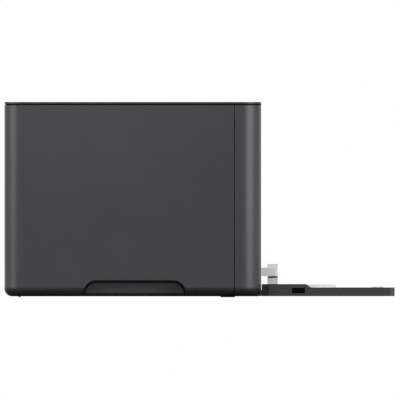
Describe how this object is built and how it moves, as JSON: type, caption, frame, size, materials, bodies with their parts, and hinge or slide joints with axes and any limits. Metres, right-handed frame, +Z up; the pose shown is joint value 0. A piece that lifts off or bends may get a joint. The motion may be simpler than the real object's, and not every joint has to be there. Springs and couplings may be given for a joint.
{
  "type": "laser printer",
  "caption": "Compact desktop laser printer with a fold-down front input tray, sliding paper guides, lid with output bin, control panel and rear door.",
  "frame": {"origin": "on the desk under the middle of the body", "axes": "+Z up; -Y towards the front, where the input tray opens; +X to the right seen from the front"},
  "size_m": [0.356, 0.4256, 0.213],
  "materials": {
    "body_plastic": "fine-grained charcoal moulding",
    "lid_plastic": "fine-grained charcoal moulding",
    "light_plastic": "light-grey moulding",
    "dark_plastic": "black moulding",
    "key_plastic": "smooth dark key caps",
    "display_glass": "dark display window",
    "rubber": "black rubber",
    "roller_rubber": "black rubber tyres",
    "steel": "zinc-plated sheet steel",
    "spring_steel": "spring steel",
    "gear_plastic": "natural acetal",
    "board": "green circuit board",
    "motor_metal": "black motor can",
    "drum_coat": "blue-green photoconductor",
    "foam": "foam-covered roller",
    "fuser_coat": "silicone-covered roller",
    "port_metal": "plated socket shell"
  },
  "bodies": {
    "body": {"base_frame": "body_plastic", "left_side_cover": "body_plastic", "right_side_cover": "body_plastic", "front_frame": "body_plastic", "rear_cover": "body_plastic", "top_frame": "body_plastic", "lid_hinge_pins": "steel", "control_panel_bezel": "body_plastic", "lcd_window": "display_glass", "panel_board": "board", "front_feet": "rubber", "left_frame": "steel", "right_frame": "steel", "separation_pad": "rubber", "turn_guide": "dark_plastic", "toner_cartridge": "dark_plastic", "scanner_unit": "dark_plastic", "fuser_frame": "steel", "exit_guide": "dark_plastic", "drive_bracket": "steel", "main_motor": "motor_metal", "power_board": "board", "mains_inlet": "dark_plastic", "main_board": "board", "usb_port": "port_metal", "lan_port": "port_metal", "cooling_fan": "dark_plastic", "cover_screws": "steel", "lift_springs": "spring_steel"},
    "lid": {"top_cover": "lid_plastic"},
    "stopper": {"output_stopper": "lid_plastic"},
    "tray": {"input_tray": "body_plastic", "tray_floor": "body_plastic"},
    "left_guide": {"left_paper_guide": "light_plastic"},
    "right_guide": {"right_paper_guide": "light_plastic"},
    "pinion": {"guide_pinion": "gear_plastic"},
    "far_guide": {"end_guide": "light_plastic"},
    "rear_door": {"rear_door": "body_plastic"},
    "lift": {"lift_plate": "steel"},
    "pickup": {"pickup_roller": "roller_rubber"},
    "registration": {"registration_roller": "roller_rubber"},
    "registration_pinch": {"registration_idler": "roller_rubber"},
    "drum": {"photo_drum": "drum_coat"},
    "transfer": {"transfer_roller": "foam"},
    "heat": {"heat_roller": "fuser_coat"},
    "pressure": {"pressure_roller": "fuser_coat"},
    "exit": {"exit_rollers": "roller_rubber"},
    "exit_pinch": {"exit_idlers": "roller_rubber"},
    "motor_shaft": {"motor_pinion": "gear_plastic"},
    "fuser_idler": {"fuser_idler_gear": "gear_plastic"},
    "feed_idler": {"feed_idler_gear": "gear_plastic"},
    "fan": {"fan_rotor": "dark_plastic"},
    "power_key": {"power_key": "key_plastic"},
    "menu_key": {"menu_key": "key_plastic"},
    "back_key": {"back_key": "key_plastic"},
    "ok_key": {"ok_key": "key_plastic"},
    "up_key": {"up_key": "key_plastic"},
    "down_key": {"down_key": "key_plastic"},
    "stop_key": {"stop_key": "key_plastic"},
    "start_key": {"start_key": "key_plastic"}
  },
  "joints": [
    {"name": "lid_hinge", "type": "hinge", "parent": "body", "child": "lid", "pos_m": [0, 0.098, 0.207], "axis": [-1, 0, 0], "range_deg": [0, 65]},
    {"name": "stopper_hinge", "type": "hinge", "parent": "lid", "child": "stopper", "pos_m": [0, -0.1365, 0.2104], "axis": [1, 0, 0], "range_deg": [0, 160]},
    {"name": "tray_hinge", "type": "hinge", "parent": "body", "child": "tray", "pos_m": [0, -0.1374, 0.00387], "axis": [-1, 0, 0], "range_deg": [0, 90]},
    {"name": "left_guide_slide", "type": "slide", "parent": "tray", "child": "left_guide", "axis": [1, 0, 0], "range_m": [-0.003, 0.066]},
    {"name": "right_guide_slide", "type": "slide", "parent": "tray", "child": "right_guide", "axis": [1, 0, 0], "range_m": [-0.066, 0.003]},
    {"name": "pinion_spin", "type": "hinge", "parent": "tray", "child": "pinion", "pos_m": [0, -0.165, 0.0045], "axis": [0, 0, 1], "range_deg": [-19.2, 420.3]},
    {"name": "end_guide_slide", "type": "slide", "parent": "tray", "child": "far_guide", "axis": [0, 1, 0], "range_m": [0, 0.087]},
    {"name": "rear_door_hinge", "type": "hinge", "parent": "body", "child": "rear_door", "pos_m": [0, 0.138, 0.057], "axis": [-1, 0, 0], "range_deg": [0, 80]},
    {"name": "lift_plate_hinge", "type": "hinge", "parent": "body", "child": "lift", "pos_m": [0, -0.092, 0.0062], "axis": [1, 0, 0], "range_deg": [0, 6], "stiffness_Nm_per_rad": 1.2, "deforming": ["lift_springs"]},
    {"name": "power_key_press", "type": "slide", "parent": "body", "child": "power_key", "axis": [0, 0, -1], "range_m": [0, 0.0005], "stiffness_N_per_m": 300},
    {"name": "menu_key_press", "type": "slide", "parent": "body", "child": "menu_key", "axis": [0, 0, -1], "range_m": [0, 0.0005], "stiffness_N_per_m": 300},
    {"name": "back_key_press", "type": "slide", "parent": "body", "child": "back_key", "axis": [0, 0, -1], "range_m": [0, 0.0005], "stiffness_N_per_m": 300},
    {"name": "ok_key_press", "type": "slide", "parent": "body", "child": "ok_key", "axis": [0, 0, -1], "range_m": [0, 0.0005], "stiffness_N_per_m": 300},
    {"name": "up_key_press", "type": "slide", "parent": "body", "child": "up_key", "axis": [0, 0, -1], "range_m": [0, 0.0005], "stiffness_N_per_m": 300},
    {"name": "down_key_press", "type": "slide", "parent": "body", "child": "down_key", "axis": [0, 0, -1], "range_m": [0, 0.0005], "stiffness_N_per_m": 300},
    {"name": "stop_key_press", "type": "slide", "parent": "body", "child": "stop_key", "axis": [0, 0, -1], "range_m": [0, 0.0005], "stiffness_N_per_m": 300},
    {"name": "start_key_press", "type": "slide", "parent": "body", "child": "start_key", "axis": [0, 0, -1], "range_m": [0, 0.0005], "stiffness_N_per_m": 300},
    {"name": "drum_spin", "type": "hinge", "parent": "body", "child": "drum", "pos_m": [0, 0.088, 0.108], "axis": [1, 0, 0], "continuous": true},
    {"name": "registration_spin", "type": "hinge", "parent": "body", "child": "registration", "pos_m": [0, 0.09025, 0.07172], "axis": [1, 0, 0], "continuous": true},
    {"name": "pressure_spin", "type": "hinge", "parent": "body", "child": "pressure", "pos_m": [0, 0.1093, 0.158], "axis": [1, 0, 0], "continuous": true},
    {"name": "exit_spin", "type": "hinge", "parent": "body", "child": "exit", "pos_m": [0, 0.107, 0.18425], "axis": [1, 0, 0], "continuous": true},
    {"name": "fuser_idler_spin", "type": "hinge", "parent": "body", "child": "fuser_idler", "pos_m": [0, 0.11159, 0.1305], "axis": [1, 0, 0], "continuous": true},
    {"name": "feed_idler_spin", "type": "hinge", "parent": "body", "child": "feed_idler", "pos_m": [0, 0.05555, 0.06646], "axis": [1, 0, 0], "continuous": true},
    {"name": "pickup_spin", "type": "hinge", "parent": "body", "child": "pickup", "pos_m": [0, 0.024, 0.036], "axis": [1, 0, 0], "continuous": true},
    {"name": "motor_spin", "type": "hinge", "parent": "body", "child": "motor_shaft", "pos_m": [0, 0.06206, 0.11744], "axis": [1, 0, 0], "continuous": true},
    {"name": "registration_pinch_spin", "type": "hinge", "parent": "body", "child": "registration_pinch", "pos_m": [0, 0.1063, 0.07172], "axis": [1, 0, 0], "continuous": true},
    {"name": "transfer_spin", "type": "hinge", "parent": "body", "child": "transfer", "pos_m": [0, 0.1073, 0.108], "axis": [1, 0, 0], "continuous": true},
    {"name": "heat_spin", "type": "hinge", "parent": "body", "child": "heat", "pos_m": [0, 0.091, 0.158], "axis": [1, 0, 0], "continuous": true},
    {"name": "exit_pinch_spin", "type": "hinge", "parent": "body", "child": "exit_pinch", "pos_m": [0, 0.107, 0.1963], "axis": [1, 0, 0], "continuous": true},
    {"name": "fan_spin", "type": "hinge", "parent": "body", "child": "fan", "pos_m": [-0.137, 0.13225, 0.15], "axis": [0, 1, 0], "continuous": true}
  ],
  "couplings": [
    {"joint": "right_guide_slide", "follows": "left_guide_slide", "ratio": -1},
    {"joint": "pinion_spin", "follows": "left_guide_slide", "rad_per_m": 111.11},
    {"joint": "registration_spin", "follows": "drum_spin", "ratio": -1.2308},
    {"joint": "pressure_spin", "follows": "drum_spin", "ratio": 1.3333},
    {"joint": "exit_spin", "follows": "drum_spin", "ratio": -1.7778},
    {"joint": "fuser_idler_spin", "follows": "drum_spin", "ratio": -1.6},
    {"joint": "feed_idler_spin", "follows": "drum_spin", "ratio": 1.0667},
    {"joint": "pickup_spin", "follows": "drum_spin", "ratio": -0.8},
    {"joint": "motor_spin", "follows": "drum_spin", "ratio": -2.6667},
    {"joint": "registration_pinch_spin", "follows": "drum_spin", "ratio": 2},
    {"joint": "transfer_spin", "follows": "drum_spin", "ratio": -1.7143},
    {"joint": "heat_spin", "follows": "drum_spin", "ratio": -1.3333},
    {"joint": "exit_pinch_spin", "follows": "drum_spin", "ratio": 2.4}
  ]
}
